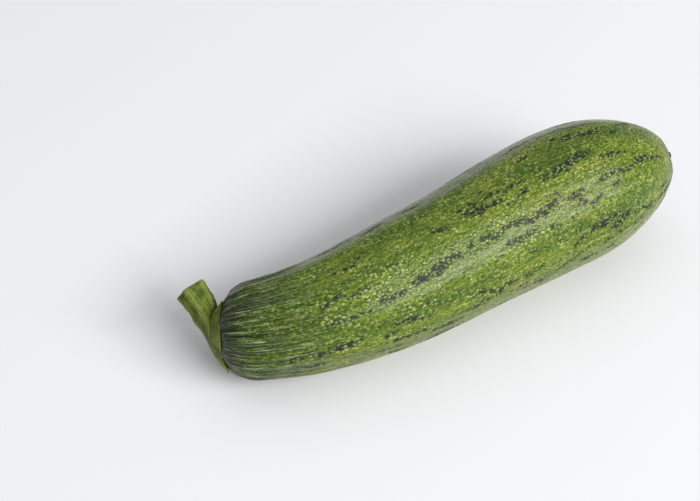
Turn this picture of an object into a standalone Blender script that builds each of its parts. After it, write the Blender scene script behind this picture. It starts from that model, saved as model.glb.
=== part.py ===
"""A green zucchini, as picked: the fruit lies on its side with its cut stem and the dried end of its flower.

Units are metres. +X runs from the stem to the flower end, +Y is the side that the fruit curves
towards at both ends, and +Z is up. The fruit rests on a narrow flat on its underside at z = 0,
and the origin is under the middle of the whole object.
"""
import math

import bmesh
import bpy
from mathutils import Vector

NAME = "zucchini"
SEAM = 0.0003                 # gap between touching pieces

# Fruit
LENGTH = 0.1693               # from the seat of the stem to the flower scar
BOW = 0.0037                  # how far the middle bows towards -Y
SWAY = 0.0024                 # the stem half bends more than the flower half by this sway
NECK_HOOK = 0.0055            # and the neck hooks to +Y by this much
NECK_HOOK_REACH = 0.0458
FLOWER_TURN_SIDE = 0.0050     # the flower end turns to -Y
FLOWER_TURN_RISE = 0.0038     # and upwards
FLOWER_TURN_START = 0.1114
AXIS_HEIGHT_STEM = 0.0170     # height of the axis over the surface at the stem end
AXIS_HEIGHT_FLOWER = 0.0268   # and at the flower end
BODY_RADII = (                # share of the length, radius without the rounding of the ends
    (0.00, 0.0140),
    (0.12, 0.0167),
    (0.30, 0.0203),
    (0.50, 0.0220),
    (0.66, 0.02385),
    (0.78, 0.02435),
    (1.00, 0.0217),
)
SEAT_RADIUS = 0.0079          # flat end that carries the stem
SHOULDER_LENGTH = 0.0104      # rounding between that flat and the neck
FLOWER_END_START = 0.1351     # where the flower end starts to draw in
FLOWER_END_REACH = 0.0363     # semi-axis of the oval that it draws in along
FLOWER_END_POWER = 0.47       # under 0.5 is blunter than an ellipse, over it is more pointed

# Relief of the skin
SEGMENTS = 120                # faces round the fruit, four for each fine rib
FINE_RIBS = 30
FINE_RIB_HEIGHT = 0.00034
FINE_RIB_START = 0.0005       # the ribs rise just outside the seat
FINE_RIB_PEAK = 0.0036
FINE_RIB_END = 0.046          # and are gone by here
RIDGES = 10                   # broad soft ridges that run the whole length
RIDGE_HEIGHT = 0.00016
RIDGE_HEIGHT_NECK = 0.00040
RIDGE_FADE_START = 0.90       # share of the length where they start to fade at the flower end

# Stem
STEM_SEGMENTS = 40
STEM_LOBES = 5
LOBE_SHARPNESS = 1.4
LOBE_TURN = math.radians(36)  # the long lobe points away from the side that the stalk leans to
SHORT_LOBES = 0.25            # share of its reach that the other lobes have
LONG_LOBE_POWER = 4           # the higher, the narrower the long lobe
STEM_LEAN = math.radians(36)  # the stalk turns to +Y and this much upwards
FOOT_SECTIONS = (             # out from the seat, radius, share of the lobes' reach
    (SEAM, 0.0038, 0.0),
    (SEAM, 0.0076, 0.0),
    (SEAM, 0.0078, 0.5),
    (SEAM, 0.0080, 1.0),
    (0.0009, 0.0083, 1.0),
    (0.0017, 0.0080, 0.5),
    (0.0025, 0.0075, 0.3),
)
LOBE_REACH = 0.0035           # how far the long lobe of the foot reaches past its radius
LOBE_DROOP = 0.0016           # and bends over the shoulder at its tip
STALK_SECTIONS = (            # out from the seat, sideways, radius, turn in degrees
    (0.0030, 0.0012, 0.0063, 6),
    (0.0034, 0.0028, 0.0050, 13),
    (0.0040, 0.0047, 0.0043, 26),
    (0.0052, 0.0070, 0.0041, 40),
    (0.0067, 0.0096, 0.0041, 50),
    (0.0083, 0.0121, 0.0042, 54),
    (0.0098, 0.0144, 0.0045, 56),
    (0.0100, 0.0147, 0.0042, 56),
    (0.0100, 0.0147, 0.0020, 56),
)
STALK_RIB_DEPTH = 0.0006      # depth of the five ribs of the stalk

# Flower scar
SCAR_SEGMENTS = 40
SCAR_RADIUS = 0.0059
SCAR_RIM = 0.0003             # thickness at its edge
SCAR_DOME = 0.0010            # height of the low cone inside the rim
NUB_RADIUS = 0.0011
NUB_HEIGHT = 0.0010


def smooth_step(value):
    value = min(1.0, max(0.0, value))
    return value * value * (3.0 - 2.0 * value)


def body_radius(share):
    """Radius without the end roundings, on a smooth curve through BODY_RADII."""
    last = len(BODY_RADII) - 2
    index = max(i for i in range(last + 1) if BODY_RADII[i][0] <= share)
    here, there = BODY_RADII[index], BODY_RADII[index + 1]
    before = BODY_RADII[max(index - 1, 0)]
    after = BODY_RADII[min(index + 2, last + 1)]
    span = there[0] - here[0]
    slope_in = (there[1] - before[1]) / (there[0] - before[0]) * span
    slope_out = (after[1] - here[1]) / (after[0] - here[0]) * span
    t = (share - here[0]) / span
    return ((2 * t**3 - 3 * t**2 + 1) * here[1] + (t**3 - 2 * t**2 + t) * slope_in
            + (3 * t**2 - 2 * t**3) * there[1] + (t**3 - t**2) * slope_out)


def fruit_radius(along):
    """Radius of the fruit at a distance along its axis from the seat of the stem."""
    radius = body_radius(along / LENGTH)
    if along < SHOULDER_LENGTH:
        rest = 1.0 - along / SHOULDER_LENGTH
        radius = SEAT_RADIUS + (radius - SEAT_RADIUS) * math.sqrt(1.0 - rest * rest)
    if along > FLOWER_END_START:
        drawn = (along - FLOWER_END_START) / FLOWER_END_REACH
        radius *= (1.0 - drawn * drawn) ** FLOWER_END_POWER
    return radius


def axis_point(along):
    """Point of the curved axis at a distance from the seat of the stem."""
    share = along / LENGTH - 0.5
    hook = max(0.0, 1.0 - along / NECK_HOOK_REACH) ** 3
    turn = max(0.0, (along - FLOWER_TURN_START) / (LENGTH - FLOWER_TURN_START)) ** 3
    side = -BOW * (1.0 - 4.0 * share * share) + SWAY * math.sin(2.0 * math.pi * share)
    side += NECK_HOOK * hook - FLOWER_TURN_SIDE * turn
    height = AXIS_HEIGHT_STEM + (AXIS_HEIGHT_FLOWER - AXIS_HEIGHT_STEM) * (share + 0.5)
    return Vector((share * LENGTH, side, height + FLOWER_TURN_RISE * turn))


def axis_frame(along):
    """Forward, sideways and upward directions of the axis, from two points close to each other."""
    step = 0.0005
    forward = (axis_point(along + step) - axis_point(along - step)).normalized()
    sideways = Vector((0.0, 0.0, 1.0)).cross(forward).normalized()
    upward = forward.cross(sideways)
    return forward, sideways, upward


def skin_relief(along, angle):
    """Height of ribs and ridges over the plain turned shape."""
    rise = smooth_step((along - FINE_RIB_START) / (FINE_RIB_PEAK - FINE_RIB_START))
    fall = 1.0 - smooth_step((along - FINE_RIB_PEAK) / (FINE_RIB_END - FINE_RIB_PEAK))
    fine = FINE_RIB_HEIGHT * rise * fall * math.cos(FINE_RIBS * angle)
    ends = rise * (1.0 - smooth_step((along / LENGTH - RIDGE_FADE_START) / (1.0 - RIDGE_FADE_START)))
    ridge_height = RIDGE_HEIGHT + (RIDGE_HEIGHT_NECK - RIDGE_HEIGHT) * fall
    return fine + ends * ridge_height * math.cos(RIDGES * angle)


def fruit_stations():
    """Distances along the axis: close together where the ends round off."""
    shoulder_rings = 7
    neck_rings = 7
    body_rings = 8
    flower_rings = 9
    neck_end = 0.050
    shoulder = [SHOULDER_LENGTH * (1.0 - math.cos(0.5 * math.pi * i / shoulder_rings))
                for i in range(shoulder_rings)]
    neck = [SHOULDER_LENGTH + (neck_end - SHOULDER_LENGTH) * i / neck_rings for i in range(neck_rings)]
    body = [neck_end + (FLOWER_END_START - neck_end) * i / body_rings for i in range(body_rings)]
    drawn_in = LENGTH - FLOWER_END_START
    flower = [FLOWER_END_START + drawn_in * math.sin(0.5 * math.pi * i / flower_rings)
              for i in range(flower_rings + 1)]
    return shoulder + neck + body + flower


def turned_mesh(name, profile, segments):
    """Mesh of a profile of (radius, height) points turned round Z; the profile runs top to bottom."""
    outline = bpy.data.meshes.new(name + "_profile")
    edges = [(i, i + 1) for i in range(len(profile) - 1)]
    outline.from_pydata([(radius, 0.0, height) for radius, height in profile], edges, [])
    guide = bpy.data.objects.new(name + "_profile", outline)
    bpy.context.scene.collection.objects.link(guide)
    turn = guide.modifiers.new("Turn", "SCREW")
    turn.steps = segments
    turn.render_steps = segments
    turn.use_merge_vertices = True
    turn.merge_threshold = 0.000001
    depsgraph = bpy.context.evaluated_depsgraph_get()
    mesh = bpy.data.meshes.new_from_object(guide.evaluated_get(depsgraph))
    bpy.data.objects.remove(guide)
    mesh.name = name
    return mesh


def cut_flat(mesh, height):
    """Cut the mesh level at a height, keep what is above and close it with one flat face."""
    shape = bmesh.new()
    shape.from_mesh(mesh)
    everything = shape.verts[:] + shape.edges[:] + shape.faces[:]
    cut = bmesh.ops.bisect_plane(shape, geom=everything, dist=0.00001, plane_co=(0.0, 0.0, height),
                                 plane_no=(0.0, 0.0, 1.0), clear_inner=True)
    rim = [item for item in cut["geom_cut"] if isinstance(item, bmesh.types.BMEdge)]
    bmesh.ops.holes_fill(shape, edges=rim, sides=0)
    bmesh.ops.recalc_face_normals(shape, faces=shape.faces[:])
    shape.to_mesh(mesh)
    shape.free()


def make_fruit():
    """Turn the straight profile, then ride its points on the curved axis and raise the relief."""
    inner_ring = 0.5
    on_axis = 0.00001
    profile = [(0.0, LENGTH), (inner_ring * fruit_radius(LENGTH), LENGTH)]
    profile += [(fruit_radius(along), along) for along in reversed(fruit_stations())]
    profile += [(inner_ring * SEAT_RADIUS, 0.0), (0.0, 0.0)]
    mesh = turned_mesh("fruit", profile, SEGMENTS)
    for vertex in mesh.vertices:
        along = vertex.co.z
        radius = math.hypot(vertex.co.x, vertex.co.y)
        angle = math.atan2(vertex.co.y, vertex.co.x)
        if radius > on_axis:
            radius += skin_relief(along, angle)
        _, sideways, upward = axis_frame(along)
        around = sideways * math.cos(angle) + upward * math.sin(angle)
        vertex.co = axis_point(along) + around * radius
    cut_flat(mesh, 0.0)
    return mesh


def make_stem():
    """Loft from the lobed foot on the shoulder to the ribbed stalk, which curves away sideways.

    One lobe of the foot is long and bends down over the shoulder, opposite to the stalk.
    """
    origin = axis_point(0.0)
    forward, sideways, upward = axis_frame(0.0)
    outward = -forward
    lean = sideways * math.cos(STEM_LEAN) + upward * math.sin(STEM_LEAN)
    across = outward.cross(lean)
    angles = [2.0 * math.pi * i / STEM_SEGMENTS for i in range(STEM_SEGMENTS)]
    lobes = [(0.5 + 0.5 * math.cos(STEM_LOBES * (angle - LOBE_TURN))) ** LOBE_SHARPNESS for angle in angles]
    spreads = [SHORT_LOBES + (1.0 - SHORT_LOBES) * max(0.0, -math.cos(angle)) ** LONG_LOBE_POWER
               for angle in angles]
    rings = []
    for out, radius, share in FOOT_SECTIONS:
        ring = []
        for angle, lobe, spread in zip(angles, lobes, spreads):
            around = lean * math.cos(angle) + across * math.sin(angle)
            reach = radius + LOBE_REACH * share * lobe * spread
            droop = LOBE_DROOP * (share * lobe * spread) ** 2
            ring.append(origin + outward * (out - droop) + around * reach)
        rings.append(ring)
    for out, side, radius, turn in STALK_SECTIONS:
        centre = origin + outward * out + lean * side
        tilt = math.radians(turn)
        in_plane = lean * math.cos(tilt) - outward * math.sin(tilt)
        ring = []
        for angle, lobe in zip(angles, lobes):
            around = in_plane * math.cos(angle) + across * math.sin(angle)
            ring.append(centre + around * (radius + STALK_RIB_DEPTH * lobe))
        rings.append(ring)
    return lofted_mesh("stem", rings)


def lofted_mesh(name, rings):
    """Closed mesh through rings of equally many points, with flat ends."""
    shape = bmesh.new()
    loops = [[shape.verts.new(point) for point in ring] for ring in rings]
    count = len(loops[0])
    for lower, higher in zip(loops, loops[1:]):
        for i in range(count):
            j = (i + 1) % count
            shape.faces.new((lower[i], lower[j], higher[j], higher[i]))
    shape.faces.new(reversed(loops[0]))
    shape.faces.new(loops[-1])
    bmesh.ops.recalc_face_normals(shape, faces=shape.faces[:])
    mesh = bpy.data.meshes.new(name)
    shape.to_mesh(mesh)
    shape.free()
    return mesh


def make_scar():
    """Turned corky disc with the stub of the flower at its middle, set on the flower end."""
    cone = SCAR_RIM + SCAR_DOME
    profile = [
        (0.0, cone + NUB_HEIGHT),
        (0.6 * NUB_RADIUS, cone + 0.95 * NUB_HEIGHT),
        (NUB_RADIUS, cone + 0.6 * NUB_HEIGHT),
        (0.9 * NUB_RADIUS, cone + 0.1 * NUB_HEIGHT),
        (1.5 * NUB_RADIUS, SCAR_RIM + 0.75 * SCAR_DOME),
        (0.6 * SCAR_RADIUS, SCAR_RIM + 0.45 * SCAR_DOME),
        (0.93 * SCAR_RADIUS, SCAR_RIM),
        (SCAR_RADIUS, 0.6 * SCAR_RIM),
        (SCAR_RADIUS, 0.0),
        (0.0, 0.0),
    ]
    mesh = turned_mesh("blossom_scar", profile, SCAR_SEGMENTS)
    forward, sideways, upward = axis_frame(LENGTH)
    base = axis_point(LENGTH) + forward * SEAM
    for vertex in mesh.vertices:
        local = vertex.co.copy()
        vertex.co = base + sideways * local.x + upward * local.y + forward * local.z
    return mesh


def make_material(name, colour, roughness):
    material = bpy.data.materials.new(name)
    material.use_nodes = True
    surface = material.node_tree.nodes["Principled BSDF"]
    surface.inputs["Base Color"].default_value = (*colour, 1.0)
    surface.inputs["Roughness"].default_value = roughness
    surface.inputs["Metallic"].default_value = 0.0
    return material


def add_part(collection, mesh, material, crease_degrees):
    mesh.materials.append(material)
    mesh.shade_smooth()
    mesh.set_sharp_from_angle(angle=math.radians(crease_degrees))
    part = bpy.data.objects.new(mesh.name, mesh)
    collection.objects.link(part)
    return part


def centre_on_footprint(parts):
    """Move every mesh so that the origin is under the middle of the whole object."""
    points = [vertex.co for part in parts for vertex in part.data.vertices]
    middle_x = 0.5 * (min(p.x for p in points) + max(p.x for p in points))
    middle_y = 0.5 * (min(p.y for p in points) + max(p.y for p in points))
    for part in parts:
        for vertex in part.data.vertices:
            vertex.co -= Vector((middle_x, middle_y, 0.0))


def main():
    for old in list(bpy.data.objects):
        bpy.data.objects.remove(old)
    collection = bpy.data.collections.new(NAME)
    bpy.context.scene.collection.children.link(collection)
    skin = make_material("zucchini_skin", (0.17, 0.23, 0.045), 0.38)
    stalk = make_material("zucchini_stem", (0.10, 0.17, 0.02), 0.55)
    cork = make_material("dried_flower_cork", (0.14, 0.15, 0.09), 0.85)
    parts = [
        add_part(collection, make_fruit(), skin, 40),
        add_part(collection, make_stem(), stalk, 50),
        add_part(collection, make_scar(), cork, 40),
    ]
    centre_on_footprint(parts)


main()
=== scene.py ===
# %% [markdown]
# # A green zucchini, grown round a curved line
#
# The object is one fruit lying on its side. It has a slim neck, a fuller flower half, a short stalk on
# a lobed foot, and the dried scar of its flower. Its light green skin is covered with tiny pale flecks,
# soft darker bands and broken dark streaks that all run along the fruit.
#
# The solid model gives the frame: every piece here rides on its one body and stays where its solid is.
# Each solid is replaced by a finer mesh of the same form, because the skin needs points about half a
# millimetre apart to carry its pattern.

import math

import bpy
import numpy as np
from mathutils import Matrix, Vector


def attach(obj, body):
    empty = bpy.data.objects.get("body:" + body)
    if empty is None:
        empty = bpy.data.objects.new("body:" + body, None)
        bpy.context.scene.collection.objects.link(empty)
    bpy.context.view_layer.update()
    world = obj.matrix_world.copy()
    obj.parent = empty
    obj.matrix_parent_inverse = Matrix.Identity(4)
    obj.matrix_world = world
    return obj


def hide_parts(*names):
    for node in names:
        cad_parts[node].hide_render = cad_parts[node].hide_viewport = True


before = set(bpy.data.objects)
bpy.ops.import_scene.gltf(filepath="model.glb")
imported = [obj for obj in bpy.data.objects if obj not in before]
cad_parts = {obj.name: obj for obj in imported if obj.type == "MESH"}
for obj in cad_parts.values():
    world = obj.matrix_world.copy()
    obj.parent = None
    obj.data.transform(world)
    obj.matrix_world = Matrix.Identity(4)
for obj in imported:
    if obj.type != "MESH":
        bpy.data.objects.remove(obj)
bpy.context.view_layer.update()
MM = 0.001
print("solids:", sorted(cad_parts))


# %% [markdown]
# ## Two small helpers
#
# Colours are written as the hex numbers that a colour picker shows, and turned into the linear values
# that Blender calculates with. The other helper adds a node, sets it and links it, so that a node tree
# reads as a list of steps.
#
# Inputs that share a name are given by number. A Map Range takes the value as 0, reads it from 1 to 2 and
# spreads it from 3 to 4, which are 0 and 1 unless given. A Mix of colours takes its share as 0 and the
# colours as 6 and 7. A Mix of numbers has them as 2 and 3.

# %% Colours and nodes
def linear(hex_colour):
    parts = [int(hex_colour[i:i + 2], 16) / 255.0 for i in (1, 3, 5)]
    return tuple(p / 12.92 if p <= 0.04045 else ((p + 0.055) / 1.055) ** 2.4 for p in parts) + (1.0,)


def add(tree, kind, settings=None, links=None):
    made = tree.nodes.new(kind)
    for name, value in (settings or {}).items():
        setattr(made, name, value)
    for socket, source in (links or {}).items():
        if isinstance(source, bpy.types.NodeSocket):
            tree.links.new(source, made.inputs[socket])
        else:
            made.inputs[socket].default_value = source
    return made


PLUS, MINUS, TIMES = {"operation": "ADD"}, {"operation": "SUBTRACT"}, {"operation": "MULTIPLY"}
TIMES_PLUS = {"operation": "MULTIPLY_ADD"}        # the first times the second, plus the third
POWER, LARGER = {"operation": "POWER"}, {"operation": "MAXIMUM"}
SCALED = {"operation": "SCALE"}                   # a vector made longer or shorter
SEEDED = {"noise_dimensions": "4D"}               # the fourth place in a noise is its seed


def smooth_step(value):
    value = min(1.0, max(0.0, value))
    return value * value * (3.0 - 2.0 * value)


# %% [markdown]
# ## The form of the fruit
#
# A zucchini is close to a turned shape whose axis is bent. It could be sculpted, but its form follows
# a rule, so two functions say it: how thick the fruit is at a distance from the stem, and where its
# axis runs. The values are those of the solid model, in metres.

# %% Thickness and axis
LENGTH = 0.1693
BODY_RADII = ((0.00, 0.0140), (0.12, 0.0167), (0.30, 0.0203), (0.50, 0.0220),
              (0.66, 0.02385), (0.78, 0.02435), (1.00, 0.0217))
SEAT_RADIUS = 0.0079
SHOULDER_LENGTH = 0.0104
FLOWER_END_START = 0.1351
FLOWER_END_REACH = 0.0363
FLOWER_END_POWER = 0.47


def body_radius(share):
    last = len(BODY_RADII) - 2
    index = max(i for i in range(last + 1) if BODY_RADII[i][0] <= share)
    here, there = BODY_RADII[index], BODY_RADII[index + 1]
    before, after = BODY_RADII[max(index - 1, 0)], BODY_RADII[min(index + 2, last + 1)]
    span = there[0] - here[0]
    slope_in = (there[1] - before[1]) / (there[0] - before[0]) * span
    slope_out = (after[1] - here[1]) / (after[0] - here[0]) * span
    t = (share - here[0]) / span
    return ((2 * t**3 - 3 * t**2 + 1) * here[1] + (t**3 - 2 * t**2 + t) * slope_in
            + (3 * t**2 - 2 * t**3) * there[1] + (t**3 - t**2) * slope_out)


def fruit_radius(along):
    radius = body_radius(along / LENGTH)
    if along < SHOULDER_LENGTH:
        rest = 1.0 - along / SHOULDER_LENGTH
        radius = SEAT_RADIUS + (radius - SEAT_RADIUS) * math.sqrt(1.0 - rest * rest)
    if along > FLOWER_END_START:
        drawn = (along - FLOWER_END_START) / FLOWER_END_REACH
        radius *= (1.0 - drawn * drawn) ** FLOWER_END_POWER
    return radius


BOW, SWAY = 0.0037, 0.0024
NECK_HOOK, NECK_HOOK_REACH = 0.0055, 0.0458
FLOWER_TURN_SIDE, FLOWER_TURN_RISE, FLOWER_TURN_START = 0.0050, 0.0038, 0.1114
AXIS_HEIGHT_STEM, AXIS_HEIGHT_FLOWER = 0.0170, 0.0268
AXIS_MIDDLE = Vector((-0.002824, -0.001185, 0.0))   # the solid model is centred over the origin by this


def axis_point(along):
    share = along / LENGTH - 0.5
    hook = max(0.0, 1.0 - along / NECK_HOOK_REACH) ** 3
    turn = max(0.0, (along - FLOWER_TURN_START) / (LENGTH - FLOWER_TURN_START)) ** 3
    side = -BOW * (1.0 - 4.0 * share * share) + SWAY * math.sin(2.0 * math.pi * share)
    side += NECK_HOOK * hook - FLOWER_TURN_SIDE * turn
    height = AXIS_HEIGHT_STEM + (AXIS_HEIGHT_FLOWER - AXIS_HEIGHT_STEM) * (share + 0.5)
    return Vector((share * LENGTH, side, height + FLOWER_TURN_RISE * turn)) - AXIS_MIDDLE


def axis_frame(along):
    step = 0.0005
    forward = (axis_point(along + step) - axis_point(along - step)).normalized()
    sideways = Vector((0.0, 0.0, 1.0)).cross(forward).normalized()
    return forward, sideways, forward.cross(sideways)


print("thickest radius in mm:", round(max(fruit_radius(LENGTH * i / 200) for i in range(200)) / MM, 2))


# %% [markdown]
# ## One tree for every grown piece
#
# Fruit, stalk and scar are all skins round a line: at each point of the line there is a ring, and the
# ring has a radius and some waves. So one Geometry Nodes tree makes all three. Its input is a line of
# points that carry where a ring is, which way it faces, its radius and how strong the waves are there.
# The tree lays a grid over it, rolls the grid up, raises the waves and a little unevenness, and closes
# the seam and the two poles by merging.
#
# It also stores `straight`, the place of each point on the fruit as if it were not bent. Patterns
# that are read from it follow the bend, and they have no seam.

# %% The tree: its named inputs
grow = bpy.data.node_groups.new("skin_round_a_line", "GeometryNodeTree")
grow.interface.new_socket("Geometry", in_out="OUTPUT", socket_type="NodeSocketGeometry")
inputs = {
    "NodeSocketGeometry": ["Line"],
    "NodeSocketInt": ["Sides"],
    "NodeSocketFloat": [
        "Fine wave count", "Fine wave height", "Fine wave sharpness",
        "Broad wave count", "Broad wave height", "Broad wave sharpness", "Broad wave turn",
        "Short lobes", "Long lobe droop", "Wander", "Wander length",
        "Dent depth", "Dent size", "Seed", "Lowest height"],
    "NodeSocketMaterial": ["Surface"],
}
for kind, names in inputs.items():
    for name in names:
        grow.interface.new_socket(name, in_out="INPUT", socket_type=kind)
given = add(grow, "NodeGroupInput").outputs
print("inputs of the tree:", sum(map(len, inputs.values())))

# %% The grid, and which ring and angle a point of it belongs to
count = add(grow, "GeometryNodeAttributeDomainSize", {"component": "MESH"},
            {0: given["Line"]}).outputs["Point Count"]
sides_and_seam = add(grow, "ShaderNodeMath", PLUS, {0: given["Sides"], 1: 1.0}).outputs[0]
grid = add(grow, "GeometryNodeMeshGrid", None, {
    "Size X": 1.0, "Size Y": 1.0, "Vertices X": count, "Vertices Y": sides_and_seam}).outputs["Mesh"]
place = add(grow, "GeometryNodeInputPosition").outputs[0]
place = add(grow, "ShaderNodeSeparateXYZ", None, {0: place}).outputs
last_ring = add(grow, "ShaderNodeMath", MINUS, {0: count, 1: 1.0}).outputs[0]
from_start = add(grow, "ShaderNodeMath", PLUS, {0: place["X"], 1: 0.5}).outputs[0]
ring_number = add(grow, "ShaderNodeMath", TIMES, {0: from_start, 1: last_ring}).outputs[0]
ring_number = add(grow, "ShaderNodeMath", {"operation": "ROUND"}, {0: ring_number}).outputs[0]
angle = add(grow, "ShaderNodeMath", TIMES, {0: place["Y"], 1: -2.0 * math.pi}).outputs[0]
cosine = add(grow, "ShaderNodeMath", {"operation": "COSINE"}, {0: angle}).outputs[0]
sine = add(grow, "ShaderNodeMath", {"operation": "SINE"}, {0: angle}).outputs[0]

# %% What the line says at that ring
RING_PLACES = ("centre", "side", "up", "ahead")
RING_NUMBERS = ("along", "radius", "fine", "broad", "lobed")
read = {}
for name in RING_PLACES + RING_NUMBERS:
    kind = "FLOAT_VECTOR" if name in RING_PLACES else "FLOAT"
    value = add(grow, "GeometryNodeInputNamedAttribute", {"data_type": kind},
                {"Name": name}).outputs["Attribute"]
    read[name] = add(grow, "GeometryNodeSampleIndex", {"data_type": kind, "domain": "POINT"},
                     {"Geometry": given["Line"], "Value": value, "Index": ring_number}).outputs["Value"]

# %% Waves that wander a little, as grown ribs do
DRIFTS_PER_TURN = 2.4
stretched = add(grow, "ShaderNodeMath", {"operation": "DIVIDE"},
                {0: read["along"], 1: given["Wander length"]}).outputs[0]
round_place = add(grow, "ShaderNodeCombineXYZ", None, {0: stretched, 1: cosine, 2: sine}).outputs[0]
drift = add(grow, "ShaderNodeTexNoise", SEEDED, {
    "Vector": round_place, "W": given["Seed"], "Scale": DRIFTS_PER_TURN, "Detail": 1.0}).outputs[0]
drift = add(grow, "ShaderNodeMath", MINUS, {0: drift, 1: 0.5}).outputs[0]
drift = add(grow, "ShaderNodeMath", TIMES, {0: drift, 1: given["Wander"]}).outputs[0]
wave_angle = add(grow, "ShaderNodeMath", PLUS, {0: angle, 1: drift}).outputs[0]
broad_angle = add(grow, "ShaderNodeMath", MINUS, {0: wave_angle, 1: given["Broad wave turn"]}).outputs[0]
relief = {}
for name, turned in (("Broad", broad_angle), ("Fine", wave_angle)):
    turns = add(grow, "ShaderNodeMath", TIMES, {0: turned, 1: given[name + " wave count"]}).outputs[0]
    swing = add(grow, "ShaderNodeMath", {"operation": "COSINE"}, {0: turns}).outputs[0]
    zero_to_one = add(grow, "ShaderNodeMath", TIMES_PLUS, {0: swing, 1: 0.5, 2: 0.5}).outputs[0]
    peaked = add(grow, "ShaderNodeMath", POWER,
                 {0: zero_to_one, 1: given[name + " wave sharpness"]}).outputs[0]
    relief[name] = add(grow, "ShaderNodeMath", TIMES, {0: peaked, 1: read[name.lower()]}).outputs[0]
crest = peaked                    # of the fine waves: it is 1 on every crest, whatever its height

# %% Some fine waves stand higher than others
HEIGHTS_PER_TURN = 7.0
uneven = add(grow, "ShaderNodeTexNoise", SEEDED, {
    "Vector": round_place, "W": given["Seed"], "Scale": HEIGHTS_PER_TURN, "Detail": 0.0}).outputs[0]
uneven = add(grow, "ShaderNodeMapRange", None, {0: uneven, 1: 0.35, 2: 0.62, 3: 0.25, 4: 1.0}).outputs[0]
relief["Fine"] = add(grow, "ShaderNodeMath", TIMES, {0: relief["Fine"], 1: uneven}).outputs[0]

# %% On lobed rings, only the broad wave opposite the leaning side reaches far
LONG_LOBE_NARROWNESS = 4.0
opposite = add(grow, "ShaderNodeMath", TIMES, {0: cosine, 1: -1.0}).outputs[0]
opposite = add(grow, "ShaderNodeMath", LARGER, {0: opposite, 1: 0.0}).outputs[0]
opposite = add(grow, "ShaderNodeMath", POWER, {0: opposite, 1: LONG_LOBE_NARROWNESS}).outputs[0]
spread_out = add(grow, "ShaderNodeMapRange", None, {0: opposite, 3: given["Short lobes"]}).outputs[0]
spread_out = add(grow, "ShaderNodeMix", None, {0: read["lobed"], 2: 1.0, 3: spread_out}).outputs[0]
relief["Broad"] = add(grow, "ShaderNodeMath", TIMES, {0: relief["Broad"], 1: spread_out}).outputs[0]
droop = add(grow, "ShaderNodeMath", POWER, {0: relief["Broad"], 1: 2.0}).outputs[0]
droop = add(grow, "ShaderNodeMath", TIMES, {0: droop, 1: read["lobed"]}).outputs[0]
droop = add(grow, "ShaderNodeMath", TIMES, {0: droop, 1: given["Long lobe droop"]}).outputs[0]
droop = add(grow, "ShaderNodeMath", TIMES, {0: droop, 1: -1.0}).outputs[0]

# %% Radius with its relief, and dents everywhere but at the poles
POLE_RADIUS = 0.1 * MM
radius = read["radius"]
for name in ("Fine", "Broad"):
    radius = add(grow, "ShaderNodeMath", TIMES_PLUS,
                 {0: relief[name], 1: given[name + " wave height"], 2: radius}).outputs[0]
plain = add(grow, "ShaderNodeCombineXYZ", None, {
    0: read["along"],
    1: add(grow, "ShaderNodeMath", TIMES, {0: cosine, 1: read["radius"]}).outputs[0],
    2: add(grow, "ShaderNodeMath", TIMES, {0: sine, 1: read["radius"]}).outputs[0],
}).outputs[0]
dent_size = dict.fromkeys(range(3), given["Dent size"])
dent_size = add(grow, "ShaderNodeCombineXYZ", None, dent_size).outputs[0]
dents = add(grow, "ShaderNodeVectorMath", {"operation": "DIVIDE"}, {0: plain, 1: dent_size}).outputs[0]
dents = add(grow, "ShaderNodeTexNoise", SEEDED,
            {"Vector": dents, "W": given["Seed"], "Scale": 1.0, "Detail": 1.0}).outputs[0]
dents = add(grow, "ShaderNodeMath", MINUS, {0: dents, 1: 0.5}).outputs[0]
off_pole = add(grow, "ShaderNodeMath", {"operation": "GREATER_THAN"},
               {0: read["radius"], 1: POLE_RADIUS}).outputs[0]
dents = add(grow, "ShaderNodeMath", TIMES, {0: dents, 1: off_pole}).outputs[0]
radius = add(grow, "ShaderNodeMath", TIMES_PLUS, {0: dents, 1: given["Dent depth"], 2: radius}).outputs[0]

# %% Roll the grid up round the line
to_side = add(grow, "ShaderNodeMath", TIMES, {0: radius, 1: cosine}).outputs[0]
to_top = add(grow, "ShaderNodeMath", TIMES, {0: radius, 1: sine}).outputs[0]
rolled = read["centre"]
for name, length in (("side", to_side), ("up", to_top), ("ahead", droop)):
    offset = add(grow, "ShaderNodeVectorMath", SCALED, {0: read[name], "Scale": length}).outputs[0]
    rolled = add(grow, "ShaderNodeVectorMath", PLUS, {0: rolled, 1: offset}).outputs[0]
rolled = add(grow, "ShaderNodeSeparateXYZ", None, {0: rolled}).outputs
height = add(grow, "ShaderNodeMath", LARGER, {0: rolled["Z"], 1: given["Lowest height"]}).outputs[0]
rolled = add(grow, "ShaderNodeCombineXYZ", None, {0: rolled["X"], 1: rolled["Y"], 2: height}).outputs[0]

# %% Store what the materials read, move the grid there, close it and give it its material
CLOSING_GAP = 0.002 * MM
skin = grid
for name, kind, value in (("straight", "FLOAT_VECTOR", plain), ("crest", "FLOAT", crest),
                          ("ridge", "FLOAT", relief["Broad"])):
    skin = add(grow, "GeometryNodeStoreNamedAttribute", {"data_type": kind, "domain": "POINT"},
               {"Geometry": skin, "Name": name, "Value": value}).outputs[0]
for kind, values in (("GeometryNodeSetPosition", {"Position": rolled}),
                     ("GeometryNodeMergeByDistance", {"Distance": CLOSING_GAP}),
                     ("GeometryNodeSetShadeSmooth", {"Shade Smooth": True}),
                     ("GeometryNodeRealizeInstances", {}),
                     ("GeometryNodeSetMaterial", {"Material": given["Surface"]})):
    skin = add(grow, kind, None, {0: skin, **values}).outputs[0]
add(grow, "NodeGroupOutput", None, {0: skin})
print("nodes in the tree:", len(grow.nodes))


# %% [markdown]
# ## Running a tree
#
# A tree's inputs are set on the modifier by the identifier of each socket, before the object is looked
# at for the first time. An input that isn't named stays 0, such as those for lobes where a line has
# none. The result is then taken out as a plain mesh, so that no modifier is left.

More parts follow.
